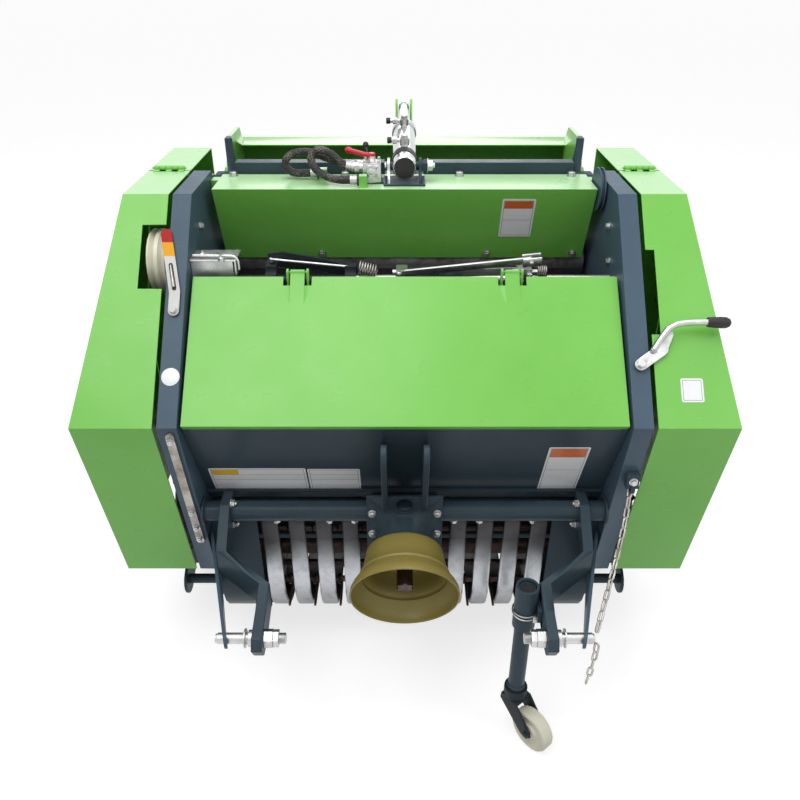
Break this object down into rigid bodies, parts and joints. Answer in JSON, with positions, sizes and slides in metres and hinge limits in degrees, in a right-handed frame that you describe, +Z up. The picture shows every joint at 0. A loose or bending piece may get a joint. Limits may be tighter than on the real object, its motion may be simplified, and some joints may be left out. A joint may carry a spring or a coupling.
{
  "type": "round baler",
  "caption": "Small round baler for a tractor three-point linkage, with hinged tailgate, side covers, pick-up reel and parking jack.",
  "frame": {"origin": "on the ground below the middle of the machine, halfway between its side covers", "axes": "+X to the right as seen by someone facing the hitch, +Y towards the tailgate, +Z up"},
  "size_m": [1.3, 1.192, 1.215],
  "materials": {
    "green_paint": "gloss",
    "slate_paint": "satin",
    "olive_guard": "satin",
    "zinc": "zinc plated",
    "band_steel": "galvanised",
    "bare_steel": "dark steel",
    "cylinder_chrome": "polished",
    "tyre_rubber": "matte",
    "hose_rubber": "matte",
    "nylon": "matte",
    "wheel_paint": "satin"
  },
  "bodies": {
    "frame": {"right_side_wall": "slate_paint", "left_side_wall": "slate_paint", "right_rear_cover": "green_paint", "left_rear_cover": "green_paint", "front_roller_1": "bare_steel", "front_roller_2": "bare_steel", "front_roller_3": "bare_steel", "front_roller_4": "bare_steel", "floor_roller": "bare_steel", "top_cross_beam": "slate_paint", "upper_cover": "green_paint", "twine_box": "slate_paint", "cylinder_bracket": "slate_paint", "hitch_headstock": "slate_paint", "right_hitch_arm": "slate_paint", "left_hitch_arm": "slate_paint", "right_lower_pin": "zinc", "left_lower_pin": "zinc", "gearbox": "slate_paint", "pto_guard": "olive_guard", "stripper_bands": "band_steel", "right_pickup_side": "slate_paint", "left_pickup_side": "slate_paint", "right_chain_drive": "bare_steel", "left_chain_drive": "bare_steel", "right_axle_carrier": "slate_paint", "left_axle_carrier": "slate_paint", "jack_sleeve": "slate_paint", "bale_gauge": "zinc", "twine_arm": "zinc", "tensioner_box": "zinc", "front_hose": "hose_rubber", "rear_hose": "hose_rubber", "check_chain": "bare_steel"},
    "tailgate": {"tailgate": "green_paint", "rear_roller_1": "bare_steel", "rear_roller_2": "bare_steel", "rear_roller_3": "bare_steel", "rear_roller_4": "bare_steel", "rear_roller_5": "bare_steel", "right_tailgate_cover": "green_paint", "left_tailgate_cover": "green_paint"},
    "cylinder_barrel": {"cylinder_barrel": "cylinder_chrome"},
    "cylinder_rod": {"cylinder_rod": "cylinder_chrome"},
    "right_cover": {"right_front_cover": "green_paint", "latch_lever": "zinc"},
    "left_cover": {"left_front_cover": "green_paint"},
    "front_lid": {"front_lid": "green_paint"},
    "pto_shaft": {"pto_shaft": "bare_steel"},
    "tine_reel": {"tine_reel": "bare_steel"},
    "twine_sheave": {"twine_sheave": "zinc"},
    "right_wheel": {"right_rim": "wheel_paint", "right_tyre": "tyre_rubber"},
    "left_wheel": {"left_rim": "wheel_paint", "left_tyre": "tyre_rubber"},
    "jack_leg": {"jack_leg": "slate_paint"},
    "caster_fork": {"caster_fork": "bare_steel"},
    "caster_wheel": {"caster_wheel": "nylon"}
  },
  "joints": [
    {"name": "tailgate_hinge", "type": "hinge", "parent": "frame", "child": "tailgate", "pos_m": [0, 0.24, 1.08], "axis": [1, 0, 0], "range_deg": [0, 60]},
    {"name": "cylinder_tilt", "type": "hinge", "parent": "frame", "child": "cylinder_barrel", "pos_m": [0, 0.1, 1.141], "axis": [1, 0, 0], "range_deg": [0, 44.9]},
    {"name": "cylinder_stroke", "type": "slide", "parent": "cylinder_barrel", "child": "cylinder_rod", "axis": [0, 0.991, 0.1338], "range_m": [-0.1241, 0]},
    {"name": "right_cover_hinge", "type": "hinge", "parent": "frame", "child": "right_cover", "pos_m": [0, 0.1475, 1.124], "axis": [-1, 0, 0], "range_deg": [0, 70]},
    {"name": "left_cover_hinge", "type": "hinge", "parent": "frame", "child": "left_cover", "pos_m": [0, 0.1475, 1.124], "axis": [-1, 0, 0], "range_deg": [0, 70]},
    {"name": "front_lid_hinge", "type": "hinge", "parent": "frame", "child": "front_lid", "pos_m": [0, -0.137, 0.984], "axis": [-1, 0, 0], "range_deg": [0, 95]},
    {"name": "pto_spin", "type": "hinge", "parent": "frame", "child": "pto_shaft", "pos_m": [0, -0.473, 0.402], "axis": [0, 0.9632, 0.2689], "continuous": true},
    {"name": "reel_spin", "type": "hinge", "parent": "frame", "child": "tine_reel", "pos_m": [0, -0.125, 0.232], "axis": [1, 0, 0], "continuous": true},
    {"name": "sheave_spin", "type": "hinge", "parent": "frame", "child": "twine_sheave", "pos_m": [0, -0.066, 0.98], "axis": [1, 0, 0], "continuous": true},
    {"name": "right_wheel_spin", "type": "hinge", "parent": "frame", "child": "right_wheel", "pos_m": [0.558, 0.135, 0.2], "axis": [1, 0, 0], "continuous": true},
    {"name": "left_wheel_spin", "type": "hinge", "parent": "frame", "child": "left_wheel", "pos_m": [-0.558, 0.135, 0.2], "axis": [1, 0, 0], "continuous": true},
    {"name": "jack_slide", "type": "slide", "parent": "frame", "child": "jack_leg", "axis": [0, 0, 1], "range_m": [0, 0.18]},
    {"name": "caster_swivel", "type": "hinge", "parent": "jack_leg", "child": "caster_fork", "pos_m": [0.25, -0.48, 0.1], "axis": [0, 0, 1], "continuous": true},
    {"name": "caster_spin", "type": "hinge", "parent": "caster_fork", "child": "caster_wheel", "pos_m": [0.28776, -0.52663, 0.05], "axis": [0.7771, 0.6293, 0], "continuous": true}
  ],
  "couplings": [
    {"joint": "cylinder_tilt", "follows": "tailgate_hinge", "ratio": 0.7474},
    {"joint": "cylinder_stroke", "follows": "tailgate_hinge", "m_per_rad": -0.11842}
  ]
}
